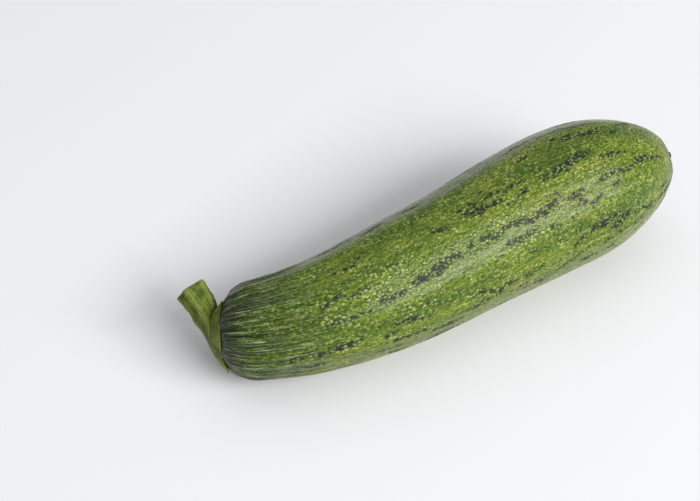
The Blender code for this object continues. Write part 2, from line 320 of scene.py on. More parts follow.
# %% From a tree to a plain mesh
def run_tree(carrier, tree, values, name):
    modifier = carrier.modifiers.new(tree.name, "NODES")
    modifier.node_group = tree
    for socket in tree.interface.items_tree:
        if socket.in_out == "INPUT" and socket.name in values:
            modifier[socket.identifier] = values[socket.name]
    depsgraph = bpy.context.evaluated_depsgraph_get()
    mesh = bpy.data.meshes.new_from_object(carrier.evaluated_get(depsgraph), depsgraph=depsgraph)
    bpy.data.objects.remove(carrier)
    mesh.name = name
    piece = bpy.data.objects.new(name, mesh)
    bpy.context.scene.collection.objects.link(piece)
    print(name, "triangles:", sum(len(face.vertices) - 2 for face in mesh.polygons))
    return piece


def ring(*values):
    """One ring: its four places, then its five numbers, in the order of their names."""
    return dict(zip(RING_PLACES + RING_NUMBERS, values))


def line_of_rings(name, rings):
    """Object of loose points, one for each ring, that carries the ring's values as attributes."""
    mesh = bpy.data.meshes.new(name)
    mesh.from_pydata([tuple(one["centre"]) for one in rings], [], [])
    for key in RING_PLACES:
        layer = mesh.attributes.new(key, "FLOAT_VECTOR", "POINT")
        values = np.array([tuple(one[key]) for one in rings], np.float32)
        layer.data.foreach_set("vector", values.ravel())
    for key in RING_NUMBERS:
        layer = mesh.attributes.new(key, "FLOAT", "POINT")
        layer.data.foreach_set("value", np.array([one[key] for one in rings], np.float32))
    carrier = bpy.data.objects.new(name, mesh)
    bpy.context.scene.collection.objects.link(carrier)
    return carrier


# %% [markdown]
# ## The fruit
#
# The skin is smooth over most of its length. Ten broad soft ridges run all along it, and about thirty
# fine ribs fan out from the stem and fade on the neck. The rings lie close together where the ends
# round off, so that the shoulder and the flower end stay smooth. The lowest strip is pressed flat on
# the surface that the fruit lies on.

# %% Rings of the fruit
NECK_END = 0.046
FINE_RIB_START, FINE_RIB_PEAK, FINE_RIB_END = 0.0002, 0.0030, NECK_END
RIDGE_SHARE_ON_BODY = 0.4
RIDGE_FADE_START = 0.90


def spread(start, end, rings):
    return [start + (end - start) * i / rings for i in range(rings)]


quarter = 0.5 * math.pi
stations = [SHOULDER_LENGTH * (1.0 - math.cos(turn)) for turn in spread(0.0, quarter, 22)]
stations += spread(SHOULDER_LENGTH, NECK_END, 48)
stations += spread(NECK_END, FLOWER_END_START, 118)
flower_turn = spread(0.0, quarter, 56) + [quarter]
stations += [FLOWER_END_START + (LENGTH - FLOWER_END_START) * math.sin(turn) for turn in flower_turn]


def fruit_ring(along, radius, relief_share=1.0):
    forward, sideways, upward = axis_frame(along)
    rise = smooth_step((along - FINE_RIB_START) / (FINE_RIB_PEAK - FINE_RIB_START))
    fall = 1.0 - smooth_step((along - FINE_RIB_PEAK) / (FINE_RIB_END - FINE_RIB_PEAK))
    ends = rise * (1.0 - smooth_step((along / LENGTH - RIDGE_FADE_START) / (1.0 - RIDGE_FADE_START)))
    ridge = (RIDGE_SHARE_ON_BODY + (1.0 - RIDGE_SHARE_ON_BODY) * fall) * ends
    return ring(axis_point(along), sideways, upward, forward, along, radius,
                rise * fall * relief_share, ridge * relief_share, 0.0)


fruit_rings = [fruit_ring(0.0, share * SEAT_RADIUS, 0.0) for share in (0.0, 0.5)]
fruit_rings += [fruit_ring(along, fruit_radius(along)) for along in stations]
fruit_rings += [fruit_ring(LENGTH, share * fruit_radius(LENGTH), 0.0) for share in (0.66, 0.33, 0.0)]
print("rings:", len(fruit_rings))

# %% Grow the fruit
skin_material = bpy.data.materials.new("fresh_zucchini_skin_waxy")
FRUIT_SIDES = 384
fruit = run_tree(line_of_rings("fruit_line", fruit_rings), grow, {
    "Sides": FRUIT_SIDES,
    "Fine wave count": 30.0, "Fine wave height": 0.60 * MM, "Fine wave sharpness": 4.0,
    "Broad wave count": 10.0, "Broad wave height": 0.80 * MM, "Broad wave sharpness": 1.0,
    "Wander": 0.10, "Wander length": 0.06,
    "Dent depth": 0.50 * MM, "Dent size": 12.0 * MM,
    "Seed": 3.0, "Lowest height": 0.0, "Surface": skin_material}, "fruit_skin")


# %% [markdown]
# ## Dark streaks and green bands
#
# The dark streaks are where the skin holds more green. They are short strokes along the fruit, in loose
# rows, with ragged edges, and pale flecks show through them. They could be drawn by noise alone, but
# noise makes blots of one size. So each streak is laid down as a stroke with its own length, width and
# slight bend, and each point of the skin stores how deep it lies inside the nearest stroke. The
# material later tears the edge with fine noise.
#
# The strokes that show most are listed one by one: distance from the stem in millimetres, angle round the
# fruit in degrees (90 is the top, 180 the side that faces the camera), and half width. The rest is laid
# with a fixed seed.

# %% Strokes listed one by one
STREAKS = (
    (57, 133, 74, 129, 1.6), (45, 138, 54, 137, 0.9), (30, 142, 42, 142, 0.5), (32, 122, 46, 121, 0.4),
    (35, 94, 44, 94, 0.5), (48, 163, 60, 168, 0.7), (44, 172, 48, 172, 0.5), (46, 181, 57, 183, 0.7),
    (72, 183, 79, 183, 0.8), (74, 171, 81, 171, 0.6), (78, 174, 86, 177, 0.6), (86, 174, 92, 178, 0.6),
    (70, 99, 76, 103, 0.8), (81, 100, 96, 105, 1.2), (84, 94, 104, 99, 0.4), (83, 127, 90, 128, 1.2),
    (90, 128, 94, 125, 1.1), (94, 125, 104, 130, 1.1), (104, 130, 112, 128, 1.7),
    (78, 127, 80, 127, 0.8), (90, 140, 101, 140, 1.1), (106, 146, 110, 145, 0.8),
    (102, 111, 106, 109, 0.8), (114, 119, 115, 124, 0.7), (117, 130, 124, 127, 1.1),
    (120, 132, 123, 137, 1.2), (124, 141, 130, 141, 0.9), (136, 137, 140, 135, 0.9),
    (98, 98, 108, 101, 0.7), (112, 106, 115, 105, 0.7), (116, 107, 134, 103, 1.3),
    (131, 108, 133, 113, 0.7), (137, 111, 148, 114, 0.8), (132, 127, 138, 128, 0.8),
    (139, 127, 149, 127, 1.1), (149, 127, 156, 125, 1.1), (156, 125, 165, 130, 0.9),
    (130, 82, 144, 85, 1.4), (125, 74, 128, 77, 0.5), (128, 64, 146, 74, 0.5), (152, 79, 162, 69, 0.6),
    (110, 80, 116, 79, 0.6), (115, 169, 122, 163, 1.0), (122, 163, 138, 161, 1.4),
    (131, 171, 137, 169, 1.6), (136, 163, 146, 168, 1.1), (146, 168, 156, 175, 1.0),
    (156, 175, 167, 180, 0.9), (128, 183, 138, 177, 0.9), (138, 177, 150, 181, 0.5),
    (104, 190, 122, 177, 0.5), (93, 175, 102, 172, 0.6), (88, 185, 96, 184, 0.5),
    (18, 172, 28, 171, 1.0), (28, 171, 37, 167, 1.1), (28, 143, 32, 141, 0.6), (28, 122, 33, 121, 0.6),
)
BANDS = (
    (40, 84, 87, 79, 2.6), (101, 88, 135, 102, 3.0), (120, 80, 138, 91, 2.4), (138, 91, 165, 85, 2.6),
    (29, 158, 84, 162, 2.4), (101, 158, 160, 157, 2.2), (14, 112, 66, 108, 1.6),
    (10, 140, 40, 150, 1.6),
)
print("placed by hand:", len(STREAKS), "streaks and", len(BANDS), "bands")


# %% A stroke's points, and how deep each point of the skin lies in its nearest stroke
KNOT_EVERY = 2.5                  # millimetres
WIDTH_AT_ENDS = 0.35
LUMPS = (0.7, 1.25)
CUT_OFF = (0.06, 0.94)            # the taper is cut off here, so that a stroke's ends are blunt
SEARCH_MARGIN = 3                 # millimetres
NOT_ZERO = 1e-9


def stroke_points(stroke, dice, bend):
    """Points along one stroke: distance, angle and half width, tapering and lumpy."""
    start, start_angle, end, end_angle, half_width = stroke
    knots = max(3, int((end - start) / KNOT_EVERY) + 1)
    share = np.linspace(0.0, 1.0, knots)
    taper = WIDTH_AT_ENDS + (1.0 - WIDTH_AT_ENDS) * np.sin(np.pi * np.clip(share, *CUT_OFF))
    along = start + (end - start) * share
    around = start_angle + (end_angle - start_angle) * share + dice.normal(0.0, bend, knots)
    return np.stack([along, around, half_width * taper * dice.uniform(*LUMPS, knots)], 1)


def depth_in_strokes(piece, strokes, reach):
    """Depth in millimetres of each point inside the nearest stroke, down to minus reach outside."""
    count = len(piece.data.vertices)
    place = np.zeros(count * 3, np.float32)
    piece.data.attributes["straight"].data.foreach_get("vector", place)
    place = place.reshape(-1, 3) / MM
    along, turn = place[:, 0], np.arctan2(place[:, 2], place[:, 1])
    radius = np.hypot(place[:, 1], place[:, 2])
    depth = np.full(count, -reach)
    margin = reach + SEARCH_MARGIN
    for points in strokes:
        near = np.flatnonzero((along > points[0, 0] - margin) & (along < points[-1, 0] + margin))
        for start, end in zip(points, points[1:]):
            first = np.radians(start[1])
            away = (turn[near] - first + np.pi) % (2 * np.pi) - np.pi
            step = np.radians(end[1] - start[1])
            u, v = along[near] - start[0], away * radius[near]
            du, dv = end[0] - start[0], step * radius[near]
            share = np.clip((u * du + v * dv) / (du * du + dv * dv + NOT_ZERO), 0.0, 1.0)
            gap = np.hypot(u - share * du, v - share * dv)
            inside = start[2] + (end[2] - start[2]) * share - gap
            depth[near] = np.maximum(depth[near], inside)
    return depth


def store(piece, name, values):
    layer = piece.data.attributes.new(name, "FLOAT", "POINT")
    layer.data.foreach_set("value", values.astype(np.float32))


# %% Strokes laid with a fixed seed on the sides that the photograph hides
HIDDEN_SIDE = (-170, 66)          # degrees round the fruit
ROW_STEP = 16.0                   # degrees between two rows of streaks
FIRST_START, ROW_END, LAST_END = (14, 40), 160, 163         # distances from the stem in millimetres
STREAK_LENGTH, STREAK_GAP, STREAK_HALF_WIDTH = (3, 15), (2, 12), (0.4, 1.4)
STREAK_CHANCE = 0.62
FAINT_TICKS, TICK_LENGTH, TICK_HALF_WIDTH = 70, (1.5, 5), (0.25, 0.5)
BAND_START, BAND_END, BAND_HALF_WIDTH = (8, 60), (90, 162), (1.4, 3.0)
dice = np.random.default_rng(11)
rows = np.arange(*HIDDEN_SIDE, ROW_STEP)
seeded = []
for row in rows:
    at = dice.uniform(*FIRST_START)
    while at < ROW_END:
        length = dice.uniform(*STREAK_LENGTH)
        if dice.random() < STREAK_CHANCE:
            turn = row + dice.normal(0.0, 3.5)
            seeded.append((at, turn, min(at + length, LAST_END), turn + dice.normal(0, 2),
                           dice.uniform(*STREAK_HALF_WIDTH)))
        at += length + dice.uniform(*STREAK_GAP)
for _ in range(FAINT_TICKS):      # on every side
    at, turn = dice.uniform(20, 160), dice.uniform(-180, 180)
    seeded.append((at, turn, at + dice.uniform(*TICK_LENGTH), turn, dice.uniform(*TICK_HALF_WIDTH)))
seeded_bands = [(dice.uniform(*BAND_START), row + 6, dice.uniform(*BAND_END), row + 4,
                 dice.uniform(*BAND_HALF_WIDTH)) for row in rows[::2]]
print("seeded:", len(seeded), "streaks and ticks,", len(seeded_bands), "bands")

# %% Lay them down
STREAK_BEND, BAND_BEND = 1.0, 1.6         # degrees
STREAK_EDGE, BAND_EDGE = 1.5, 4.0         # how far out a torn edge may reach, in millimetres
streak_paths = [stroke_points(stroke, dice, STREAK_BEND) for stroke in (*STREAKS, *seeded)]
band_paths = [stroke_points(stroke, dice, BAND_BEND) for stroke in (*BANDS, *seeded_bands)]
streak_depth = depth_in_strokes(fruit, streak_paths, STREAK_EDGE)
store(fruit, "streak", streak_depth)
store(fruit, "band", depth_in_strokes(fruit, band_paths, BAND_EDGE))
print("share of the skin's points in a streak:", round(float(np.mean(streak_depth > 0)), 3))


# %% [markdown]
# ## The skin
#
# Zucchini skin is a thin layer of green cells under a clear natural wax. The green is uneven: long bands
# of yellow green and deep green, clouds inside them, and pale granules where the cells hold air. The eye
# reads it as fresh because the colour changes at every scale and the wax gives a soft broken gloss.
#
# All patterns are read from `straight`, so they follow the bend of the fruit. Their sizes are real ones:
# bands about three millimetres wide, granules about one millimetre apart, streaks torn at half a
# millimetre. Where patterns have to fan out from the stem, they are read from `fan`, in which a step
# round the fruit counts the same at the slim stem end as on the body.

# %% An empty tree for a material
def fresh_tree(material):
    """The material's emptied node tree, and in it the place that all patterns read."""
    material.use_nodes = True
    material.node_tree.nodes.clear()
    place = add(material.node_tree, "ShaderNodeAttribute", {"attribute_name": "straight"})
    return material.node_tree, place.outputs["Vector"]


# %% Two ways to read a place on the skin
FAN_RADIUS = 15 * MM              # in the fan, every ring is as wide as this one
paint, straight = fresh_tree(skin_material)
parts = add(paint, "ShaderNodeSeparateXYZ", None, {0: straight}).outputs
along, low_side = parts["X"], parts["Z"]
only_along = add(paint, "ShaderNodeCombineXYZ", None, {0: along}).outputs[0]
off_axis = add(paint, "ShaderNodeCombineXYZ", None, {1: parts["Y"], 2: low_side}).outputs[0]
direction = add(paint, "ShaderNodeVectorMath", {"operation": "NORMALIZE"}, {0: off_axis}).outputs[0]
direction = add(paint, "ShaderNodeVectorMath", SCALED, {0: direction, "Scale": FAN_RADIUS}).outputs[0]
fan = add(paint, "ShaderNodeVectorMath", PLUS, {0: direction, 1: only_along}).outputs[0]


# %% The skin's finer noises: what each reads, its unit's length and width in millimetres, its detail
def per(length, width):
    """The scale at which one unit of a pattern is this long and this wide, in millimetres."""
    return (1 / (length * MM), 1 / (width * MM), 1 / (width * MM))


noises = {}
for name, source, length, width, detail, roughness in (
        ("threads", straight, 1.5, 0.42, 2.0, 0.7),
        ("granule patches", straight, 14, 3.4, 2.0, 0.5),
        ("torn edges", straight, 2.0, 0.5, 3.0, 0.7),
        ("grooves", fan, 16, 0.8, 3.0, 0.65),
        ("pale lines", fan, 26, 0.65, 1.0, 0.5),
        ("breaks in the lines", fan, 5, 0.6, 3.0, 0.7),
        ("uneven wax", straight, 5.5, 2.4, 1.0, 0.5)):
    place = add(paint, "ShaderNodeMapping", None, {"Vector": source, "Scale": per(length, width)})
    noises[name] = add(paint, "ShaderNodeTexNoise", None, {
        "Vector": place.outputs[0], "Scale": 1.0, "Detail": detail, "Roughness": roughness}).outputs[0]
print("noises of the skin:", len(noises))

# %% How patterns fade along the fruit: from nothing at one distance to full at the other, in millimetres
SMOOTH = {"interpolation_type": "SMOOTHSTEP"}
fades = {}
for name, nothing, full, strength in (
        # the neck's darkening and the dark end are partly the skin's own colour near the stem, partly
        # painted shade
        ("deeper green and shade", 46, 6, 0.75), ("grooves", 34, 3, 0.95), ("dark end", 8, 0.5, 0.92),
        ("line ends", 40, 5, 0.85), ("line starts", 0.5, 3.5, 1.0)):
    fades[name] = add(paint, "ShaderNodeMapRange", SMOOTH,
                      {0: along, 1: nothing * MM, 2: full * MM, 4: strength}).outputs[0]

# %% Long bands and clouds of green, each a stretched noise that is mixed in over the one before
RGBA = {"data_type": "RGBA"}
colour = linear("#61781b")
for length, width, start, full, strength, hex_colour in (
        (70, 3.2, 0.50, 0.36, 0.70, "#466409"),       # deep green bands
        (50, 2.6, 0.53, 0.66, 0.75, "#7f821e"),       # olive bands
        (17, 4.2, 0.50, 0.36, 0.50, "#4a6a0a"),       # green clouds
        (11, 1.3, 0.52, 0.68, 0.75, "#95a033"),       # pale shreds
        (9, 1.1, 0.49, 0.34, 0.60, "#335205")):       # deep shreds
    place = add(paint, "ShaderNodeMapping", None, {"Vector": straight, "Scale": per(length, width)})
    noise = add(paint, "ShaderNodeTexNoise", None, {
        "Vector": place.outputs[0], "Scale": 1.0, "Detail": 3.0, "Roughness": 0.6}).outputs[0]
    share = add(paint, "ShaderNodeMapRange", None, {0: noise, 1: start, 2: full, 4: strength}).outputs[0]
    colour = add(paint, "ShaderNodeMix", RGBA, {0: share, 6: colour, 7: linear(hex_colour)}).outputs[2]
torn = noise

# %% Green bands listed one by one, and a paler, yellower tint towards the underside
band = add(paint, "ShaderNodeAttribute", {"attribute_name": "band"}).outputs["Fac"]
band = add(paint, "ShaderNodeMath", TIMES_PLUS, {0: torn, 1: 9.0, 2: band}).outputs[0]
band = add(paint, "ShaderNodeMapRange", None, {0: band, 1: 3.2, 2: 6.2, 4: 0.85}).outputs[0]
colour = add(paint, "ShaderNodeMix", RGBA, {0: band, 6: colour, 7: linear("#355607")}).outputs[2]
belly = add(paint, "ShaderNodeMapRange", SMOOTH, {0: low_side, 1: 2 * MM, 2: -14 * MM, 4: 0.6}).outputs[0]
colour = add(paint, "ShaderNodeMix", RGBA, {0: belly, 6: colour, 7: linear("#7d8232")}).outputs[2]

# %% Darker green towards the stem: partly the neck's own colour, partly a painted shadow over the neck
colour = add(paint, "ShaderNodeMix", RGBA,
             {0: fades["deeper green and shade"], 6: colour, 7: linear("#2a4804")}).outputs[2]

# %% A fine net of darker and paler threads
net = noises["threads"]
for start, full, strength, hex_colour in ((0.53, 0.37, 0.78, "#233904"), (0.54, 0.70, 0.60, "#97a33a")):
    share = add(paint, "ShaderNodeMapRange", None, {0: net, 1: start, 2: full, 4: strength}).outputs[0]
    colour = add(paint, "ShaderNodeMix", RGBA, {0: share, 6: colour, 7: linear(hex_colour)}).outputs[2]

# %% Granules: pale cells, each with its own size and paleness, denser in some patches than in others
place = add(paint, "ShaderNodeMapping", None, {"Vector": straight, "Scale": per(1.2, 0.9)}).outputs[0]
cells = add(paint, "ShaderNodeTexVoronoi", {"feature": "F1"}, {"Vector": place, "Scale": 1.0})
own = add(paint, "ShaderNodeSeparateColor", None, {0: cells.outputs["Color"]}).outputs
grain_gap = add(paint, "ShaderNodeMath", TIMES_PLUS,
                {0: own["Red"], 1: 0.34, 2: cells.outputs["Distance"]}).outputs[0]
granule = add(paint, "ShaderNodeMapRange", SMOOTH, {0: grain_gap, 1: 0.62, 2: 0.38, 4: 1.0}).outputs[0]
patches = add(paint, "ShaderNodeMapRange", None,
              {0: noises["granule patches"], 1: 0.38, 2: 0.60, 3: 0.12, 4: 0.74}).outputs[0]

# %% Dark streaks: a dark net round duller granules, whose cells also make the torn edges
dome = add(paint, "ShaderNodeMapRange", SMOOTH, {0: grain_gap, 1: 0.80, 2: 0.15, 4: 1.0}).outputs[0]
streak = add(paint, "ShaderNodeAttribute", {"attribute_name": "streak"}).outputs["Fac"]
streak = add(paint, "ShaderNodeMath", TIMES_PLUS, {0: noises["torn edges"], 1: 4.4, 2: streak}).outputs[0]
streak = add(paint, "ShaderNodeMath", TIMES_PLUS, {0: own["Blue"], 1: 0.9, 2: streak}).outputs[0]
streak = add(paint, "ShaderNodeMapRange", SMOOTH, {0: streak, 1: 2.40, 2: 2.70, 4: 0.97}).outputs[0]
inside = add(paint, "ShaderNodeMapRange", None, {0: net, 1: 0.55, 2: 0.72, 4: 0.55}).outputs[0]
inside = add(paint, "ShaderNodeMath", LARGER, {0: inside, 1: dome}).outputs[0]
streak_colour = add(paint, "ShaderNodeMix", RGBA,
                    {0: inside, 6: linear("#0a1607"), 7: linear("#66783f")}).outputs[2]
colour = add(paint, "ShaderNodeMix", RGBA, {0: streak, 6: colour, 7: streak_colour}).outputs[2]

# %% Lay the granules over it all; they show through the streaks as dots
seen = add(paint, "ShaderNodeMix", None, {0: streak, 2: patches, 3: 0.35}).outputs[0]
off_neck = add(paint, "ShaderNodeMapRange", None, {0: along, 1: 3 * MM, 2: 30 * MM, 3: 0.25}).outputs[0]
for share in (off_neck, granule):
    seen = add(paint, "ShaderNodeMath", TIMES, {0: seen, 1: share}).outputs[0]
pale = add(paint, "ShaderNodeMix", RGBA,
           {0: own["Green"], 6: linear("#87942f"), 7: linear("#b7be78")}).outputs[2]
colour = add(paint, "ShaderNodeMix", RGBA, {0: seen, 6: colour, 7: pale}).outputs[2]

# %% The stem end: dark grooves, and a dark end that is partly the skin's own colour, partly painted shade where the shoulder meets the stalk's foot
grooves = add(paint, "ShaderNodeMapRange", None, {0: noises["grooves"], 1: 0.57, 2: 0.44}).outputs[0]
grooves = add(paint, "ShaderNodeMath", TIMES, {0: grooves, 1: fades["grooves"]}).outputs[0]
colour = add(paint, "ShaderNodeMix", RGBA, {0: grooves, 6: colour, 7: linear("#0f1b06")}).outputs[2]
# near black, lighter towards the underside; partly painted shade in the crease at the stalk's foot
dark = add(paint, "ShaderNodeMix", RGBA,
           {0: belly, 6: linear("#0f1c08"), 7: linear("#4c5a22")}).outputs[2]
colour = add(paint, "ShaderNodeMix", RGBA, {0: fades["dark end"], 6: colour, 7: dark}).outputs[2]

# %% The stem end: thin pale lines, on the rib crests and between them, broken like scratches
level = add(paint, "ShaderNodeMath", MINUS, {0: noises["pale lines"], 1: 0.5}).outputs[0]
level = add(paint, "ShaderNodeMath", {"operation": "ABSOLUTE"}, {0: level}).outputs[0]
thin = add(paint, "ShaderNodeMapRange", None, {0: level, 1: 0.044, 2: 0.014, 4: 0.65}).outputs[0]
crest = add(paint, "ShaderNodeAttribute", {"attribute_name": "crest"}).outputs["Fac"]
on_crest = add(paint, "ShaderNodeMapRange", None, {0: crest, 1: 0.72, 2: 0.96, 4: 0.9}).outputs[0]
lines = add(paint, "ShaderNodeMath", LARGER, {0: thin, 1: on_crest}).outputs[0]
breaks = add(paint, "ShaderNodeMapRange", None,
             {0: noises["breaks in the lines"], 1: 0.46, 2: 0.60, 3: 0.04}).outputs[0]
for share in (breaks, fades["line ends"], fades["line starts"]):
    lines = add(paint, "ShaderNodeMath", TIMES, {0: lines, 1: share}).outputs[0]
colour = add(paint, "ShaderNodeMix", RGBA, {0: lines, 6: colour, 7: linear("#b0bc90")}).outputs[2]

# %% Corky tint round the flower scar, which the scar's torn edge fades into
from_axis = add(paint, "ShaderNodeVectorMath", {"operation": "LENGTH"}, {0: off_axis}).outputs["Value"]
from_axis = add(paint, "ShaderNodeMath", TIMES_PLUS, {0: net, 1: -5 * MM, 2: from_axis}).outputs[0]
near_scar = add(paint, "ShaderNodeMapRange", SMOOTH,
                {0: from_axis, 1: 9 * MM, 2: 5 * MM, 4: 0.9}).outputs[0]
flower_half = add(paint, "ShaderNodeMapRange", None, {0: along, 1: 100 * MM, 2: 120 * MM}).outputs[0]
near_scar = add(paint, "ShaderNodeMath", TIMES, {0: near_scar, 1: flower_half}).outputs[0]
colour = add(paint, "ShaderNodeMix", RGBA, {0: near_scar, 6: colour, 7: linear("#4f5036")}).outputs[2]

# %% Wax: a gloss that the granules and the skin's slight unevenness break up, duller on the dark streaks
pits = dome
for source, share in ((net, 0.8), (lines, 0.6), (noises["uneven wax"], 2.5)):
    pits = add(paint, "ShaderNodeMath", TIMES_PLUS, {0: source, 1: share, 2: pits}).outputs[0]
bumps = add(paint, "ShaderNodeBump", None, {"Distance": 0.13 * MM, "Height": pits}).outputs[0]
dullness = add(paint, "ShaderNodeMapRange", None, {0: net, 1: 0.3, 2: 0.7, 3: 0.16, 4: 0.30}).outputs[0]
dullness = add(paint, "ShaderNodeMath", TIMES_PLUS, {0: streak, 1: 0.3, 2: dullness}).outputs[0]
FLESH = {"Subsurface Weight": 0.05, "Subsurface Radius": (0.8, 1.0, 0.3),    # light goes a little way in
         "Subsurface Scale": 1.0 * MM}
gloss = add(paint, "ShaderNodeBsdfPrincipled", None, {
    "Base Color": colour, "Roughness": dullness, "IOR": 1.45, "Specular IOR Level": 0.38, "Normal": bumps,
    **FLESH})
add(paint, "ShaderNodeOutputMaterial", None, {0: gloss.outputs[0]})
print("nodes in the skin:", len(paint.nodes))


# %% [markdown]
# ## The stem
#
# The stalk was cut a little above the fruit. It sits on a foot that hugs the shoulder, and it bends away
# to one side. The foot has five lobes, four short ones and one that reaches down over the shoulder, and
# the five ribs of the stalk run on from them. It is the same kind of shape as the fruit, a skin round a
# line, so the same tree makes it. A few sections say where the line goes, and a smooth curve through
# them gives the rings.

# %% A smooth curve through a few sections
def through(sections, steps):
    """Rows in between the given rows, on a curve that passes through each of them."""
    rows = []
    for i in range(len(sections) - 1):
        before, here = np.array(sections[max(i - 1, 0)]), np.array(sections[i])
        there, after = np.array(sections[i + 1]), np.array(sections[min(i + 2, len(sections) - 1)])
        for t in np.arange(steps) / steps:
            rows.append(here + 0.5 * t * (there - before)
                        + t * t * (before - 2.5 * here + 2.0 * there - 0.5 * after)
                        + 0.5 * t**3 * (3.0 * (here - there) + after - before))
    return rows + [np.array(sections[-1])]


# %% Rings of the stem
STEM_LEAN = math.radians(36)
origin = axis_point(0.0)
forward, sideways, upward = axis_frame(0.0)
outward = -forward
lean = sideways * math.cos(STEM_LEAN) + upward * math.sin(STEM_LEAN)
across = outward.cross(lean)
FOOT = (                          # out from the seat, radius, share of the lobes' reach, in millimetres
    (-0.7, 0.0, 0.0), (-0.7, 8.0, 0.3), (-0.7, 9.6, 0.8), (-0.45, 9.8, 0.9), (-0.2, 9.5, 0.95),
    (0.2, 9.0, 1.0), (0.8, 8.5, 0.95), (1.3, 8.1, 0.75), (1.7, 7.8, 0.55), (2.1, 7.4, 0.42),
    (2.5, 6.9, 0.34), (2.8, 6.4, 0.30),
)
STALK = (                         # out, sideways, radius, turn in degrees, share of the ribs' height
    (3.0, 1.2, 5.8, 6, 0.26), (3.4, 2.8, 4.9, 13, 0.26), (4.0, 4.7, 4.3, 26, 0.27),
    (5.2, 7.0, 4.1, 40, 0.28), (6.7, 9.6, 4.1, 50, 0.28), (8.3, 12.1, 4.2, 54, 0.28),
    (9.7, 14.25, 4.45, 56, 0.28),
)
CUT_FACE = (                      # the same for the cut end, which has dried and sunk in a little
    (9.95, 14.6, 4.4, 56, 0.26), (10.0, 14.7, 4.2, 56, 0.22), (9.95, 14.6, 3.95, 56, 0.18),
    (9.75, 14.3, 3.6, 56, 0.12), (9.7, 14.2, 2.6, 56, 0.05), (9.75, 14.3, 1.4, 56, 0.0),
    (9.7, 14.2, 0.0, 56, 0.0),
)
STALK_LENGTH = 20.0               # the distance along counts on from here over the cut face
FIBRE_SHARE = 2.5                 # the fibres stand out on the stalk, and less on the foot
stem_rings = []
for out, radius, share in FOOT:
    stem_rings.append(ring(origin + outward * out * MM, lean, across, outward,
                           out * MM, radius * MM, share, share, 1.0))
stalk_rows = through(STALK, 5)
for row, (out, side, radius, turn, share) in enumerate((*stalk_rows, *CUT_FACE)):
    tilt = math.radians(turn)
    in_plane = lean * math.cos(tilt) - outward * math.sin(tilt)
    on_face = max(0, row - len(stalk_rows) + 1)
    distance = math.hypot(out, side) if on_face == 0 else STALK_LENGTH + on_face
    stem_rings.append(ring(origin + (outward * out + lean * side) * MM, in_plane, across, outward,
                           distance * MM, radius * MM, FIBRE_SHARE * share, share, 0.0))
print("rings of the stem:", len(stem_rings))

# %% Grow the stem
stalk_material = bpy.data.materials.new("fresh_zucchini_stalk_ribbed")
stem = run_tree(line_of_rings("stem_line", stem_rings), grow, {
    "Sides": 200,
    "Fine wave count": 35.0, "Fine wave height": 0.45 * MM, "Fine wave sharpness": 1.5,
    "Broad wave count": 5.0, "Broad wave height": 3.5 * MM, "Broad wave sharpness": 1.4,
    "Broad wave turn": STEM_LEAN, "Short lobes": 0.25, "Long lobe droop": 1.9 * MM,
    "Wander": 0.10, "Wander length": 0.02,
    "Dent depth": 1.0 * MM, "Dent size": 2.6 * MM,
    "Seed": 8.0, "Lowest height": 0.0, "Surface": stalk_material}, "stem_stalk")


# %% [markdown]
# ## The stalk's finish
#
# The stalk is tougher and duller than the fruit. It is yellow green with paler ribs and darker grooves,
# and its fibres run along it. The cut face has a brown dried rim round pale pith. Which colour goes where
# is told by the same attributes as on the fruit: how far along a point is and how high its ridge is.

# %% Stalk colours: fibres, grooves and pale ribs
paint, straight = fresh_tree(stalk_material)
ridge = add(paint, "ShaderNodeAttribute", {"attribute_name": "ridge"}).outputs["Fac"]
made = []
for length, width in ((5, 0.45), (3, 2.4)):               # the fibres, then the blotches
    place = add(paint, "ShaderNodeMapping", None, {"Vector": straight, "Scale": per(length, width)})
    made.append(add(paint, "ShaderNodeTexNoise", None, {
        "Vector": place.outputs[0], "Scale": 1.0, "Detail": 3.0, "Roughness": 0.6}).outputs[0])
fibres, blotches = made
fibre_share = add(paint, "ShaderNodeMapRange", None, {0: fibres, 1: 0.32, 2: 0.68}).outputs[0]
colour = add(paint, "ShaderNodeMix", RGBA,
             {0: fibre_share, 6: linear("#44590f"), 7: linear("#7d8a38")}).outputs[2]
blotch_share = add(paint, "ShaderNodeMapRange", None, {0: blotches, 1: 0.55, 2: 0.40, 4: 0.75}).outputs[0]
colour = add(paint, "ShaderNodeMix", RGBA, {0: blotch_share, 6: colour, 7: linear("#3c4f14")}).outputs[2]
pale_rib = add(paint, "ShaderNodeMapRange", None, {0: ridge, 1: 0.10, 2: 0.26, 4: 0.45}).outputs[0]
colour = add(paint, "ShaderNodeMix", RGBA, {0: pale_rib, 6: colour, 7: linear("#8b9a48")}).outputs[2]

# %% Stalk colours: the cut face
along = add(paint, "ShaderNodeSeparateXYZ", None, {0: straight}).outputs["X"]
on_cut = add(paint, "ShaderNodeMapRange", SMOOTH,
             {0: along, 1: (STALK_LENGTH - 1.5) * MM, 2: (STALK_LENGTH + 1.5) * MM}).outputs[0]
to_middle = add(paint, "ShaderNodeMapRange", SMOOTH,
                {0: along, 1: (STALK_LENGTH + 3.0) * MM, 2: (STALK_LENGTH + 5.0) * MM}).outputs[0]
pith = add(paint, "ShaderNodeMix", RGBA,
           {0: blotches, 6: linear("#8f8d56"), 7: linear("#c3c494")}).outputs[2]
cut_colour = add(paint, "ShaderNodeMix", RGBA, {0: to_middle, 6: linear("#6e6638"), 7: pith}).outputs[2]
colour = add(paint, "ShaderNodeMix", RGBA, {0: on_cut, 6: colour, 7: cut_colour}).outputs[2]

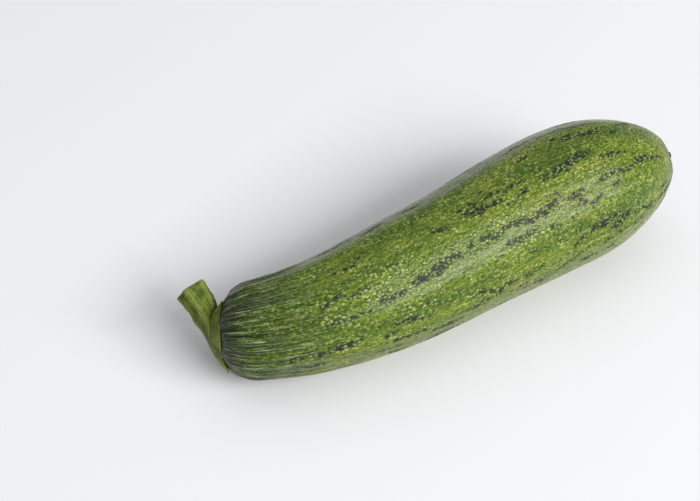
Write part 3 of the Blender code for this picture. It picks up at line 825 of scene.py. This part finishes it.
# %% Stalk finish
roughs = add(paint, "ShaderNodeMath", TIMES_PLUS, {0: blotches, 1: 0.8, 2: fibres}).outputs[0]
bumps = add(paint, "ShaderNodeBump", None,
            {"Strength": 0.8, "Distance": 0.5 * MM, "Height": roughs}).outputs[0]
gloss = add(paint, "ShaderNodeBsdfPrincipled", None, {
    "Base Color": colour, "Roughness": 0.6, "IOR": 1.45, "Specular IOR Level": 0.3, "Normal": bumps,
    **FLESH})
add(paint, "ShaderNodeOutputMaterial", None, {0: gloss.outputs[0]})
print("nodes in the stalk:", len(paint.nodes))


# %% [markdown]
# ## The flower scar
#
# Where the flower fell off, a small disc of dry cork is left, with a dark nub at its middle. It is
# another skin round a short line, with uneven edges and fine radial cracks.

# %% Rings of the scar
forward, sideways, upward = axis_frame(LENGTH)
SCAR = (                          # height over the flower end, radius, in millimetres
    (-0.6, 0.0), (-0.6, 5.3), (0.0, 5.9), (0.35, 5.88), (0.52, 5.6), (0.6, 5.0), (0.8, 4.1), (1.0, 3.2),
    (1.2, 2.4), (1.35, 1.8), (1.5, 1.3), (1.75, 1.08), (2.1, 1.05), (2.35, 1.0), (2.52, 0.7),
    (2.55, 0.0),
)
scar_rings = [ring(axis_point(LENGTH) + forward * (height * MM), -sideways, upward, forward,
                   height * MM, radius * MM, min(1.0, radius / 3.0), min(1.0, radius / 6.0), 0.0)
              for height, radius in SCAR]
print("rings of the scar:", len(scar_rings))

# %% Grow the scar
cork_material = bpy.data.materials.new("dried_flower_cork")
scar = run_tree(line_of_rings("scar_line", scar_rings), grow, {
    "Sides": 120,
    "Fine wave count": 21.0, "Fine wave height": 0.12 * MM, "Fine wave sharpness": 2.0,
    "Broad wave count": 5.0, "Broad wave height": 0.5 * MM, "Broad wave sharpness": 1.0,
    "Wander": 0.5, "Wander length": 0.01,
    "Dent depth": 0.5 * MM, "Dent size": 1.6 * MM,
    "Seed": 5.0, "Lowest height": 0.0, "Surface": cork_material}, "flower_scar")

# %% Cork colours: grey brown grit, and a darker nub
paint, straight = fresh_tree(cork_material)
height = add(paint, "ShaderNodeSeparateXYZ", None, {0: straight}).outputs["X"]
place = add(paint, "ShaderNodeMapping", None, {"Vector": straight, "Scale": per(0.8, 0.8)}).outputs[0]
grit = add(paint, "ShaderNodeTexNoise", None, {"Vector": place, "Scale": 1.0, "Detail": 4.0}).outputs[0]
grit_share = add(paint, "ShaderNodeMapRange", None, {0: grit, 1: 0.35, 2: 0.65}).outputs[0]
colour = add(paint, "ShaderNodeMix", RGBA,
             {0: grit_share, 6: linear("#3a3722"), 7: linear("#85836a")}).outputs[2]
nub = add(paint, "ShaderNodeMapRange", SMOOTH, {0: height, 1: 1.2 * MM, 2: 1.7 * MM, 4: 0.8}).outputs[0]
colour = add(paint, "ShaderNodeMix", RGBA, {0: nub, 6: colour, 7: linear("#2e2a18")}).outputs[2]
bumps = add(paint, "ShaderNodeBump", None,
            {"Strength": 0.6, "Distance": 0.2 * MM, "Height": grit}).outputs[0]
gloss = add(paint, "ShaderNodeBsdfPrincipled", None,
            {"Base Color": colour, "Roughness": 0.85, "IOR": 1.45, "Normal": bumps})
add(paint, "ShaderNodeOutputMaterial", None, {0: gloss.outputs[0]})
print("nodes in the cork:", len(paint.nodes))


# %% [markdown]
# ## Join the pieces to the frame
#
# Each piece rides on the one body and stands for its solid.

# %% Ride and replace
for piece, node, slot_name in ((fruit, "fruit", "skin"), (stem, "stem", "stalk"),
                               (scar, "blossom_scar", "cork")):
    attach(piece, "root")
    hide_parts(node)
    print(piece.name, "stands for", node)


# %% [markdown]
# ## Floor, light and camera
#
# A plain pale floor, one large soft light behind the camera and to its right, which makes the broad
# broken gloss along the fruit, a weaker one overhead, and a pale sky. The camera looks down at about
# 45 degrees. The floor is matt paper, so that it mirrors nothing and shows only the soft shadow.

# %% Floor
bpy.ops.mesh.primitive_plane_add(size=20.0, location=(0.0, 0.0, 0.0))
floor = bpy.context.active_object
floor.name = "floor"
floor_material = bpy.data.materials.new("matt_studio_paper")
floor_material.use_nodes = True
paper = floor_material.node_tree.nodes["Principled BSDF"].inputs
paper["Base Color"].default_value = linear("#eaebed")
paper["Roughness"].default_value = 0.9
paper["Specular IOR Level"].default_value = 0.1
floor.data.materials.append(floor_material)

# %% Light
world = bpy.data.worlds.new("pale_sky")
bpy.context.scene.world = world
world.use_nodes = True
sky = world.node_tree.nodes["Background"].inputs
sky["Color"].default_value = (0.95, 0.97, 1.0, 1.0)
sky["Strength"].default_value = 0.36


def soft_light(name, place, target, size, power):
    lamp = bpy.data.lights.new(name, "AREA")
    lamp.shape = "RECTANGLE"
    lamp.size, lamp.size_y = size
    lamp.energy = power
    stand = bpy.data.objects.new(name, lamp)
    stand.location = place
    stand.rotation_mode = "QUATERNION"
    stand.rotation_quaternion = (Vector(target) - Vector(place)).to_track_quat("-Z", "Y")
    bpy.context.scene.collection.objects.link(stand)


soft_light("front_window", (0.85, -1.92, 1.50), (0.0, 0.0, 0.02), (1.9, 1.05), 75.0)
soft_light("top_panel", (0.2, 0.6, 3.0), (0.0, 0.0, 0.0), (3.4, 3.4), 20.0)

# %% Camera
camera = bpy.data.objects.new("camera", bpy.data.cameras.new("camera"))
camera.data.sensor_width = 36.0
camera.data.lens = 58.58
camera.data.clip_start = 0.01
camera.location = (-0.15986, -0.22438, 0.29763)
camera.rotation_euler = (math.radians(44.7), 0.0, math.radians(-28.402))
bpy.context.scene.collection.objects.link(camera)
bpy.context.scene.camera = camera
bpy.context.scene.view_settings.view_transform = "Standard"
print("camera's distance from the origin in mm:", round(camera.location.length / MM))
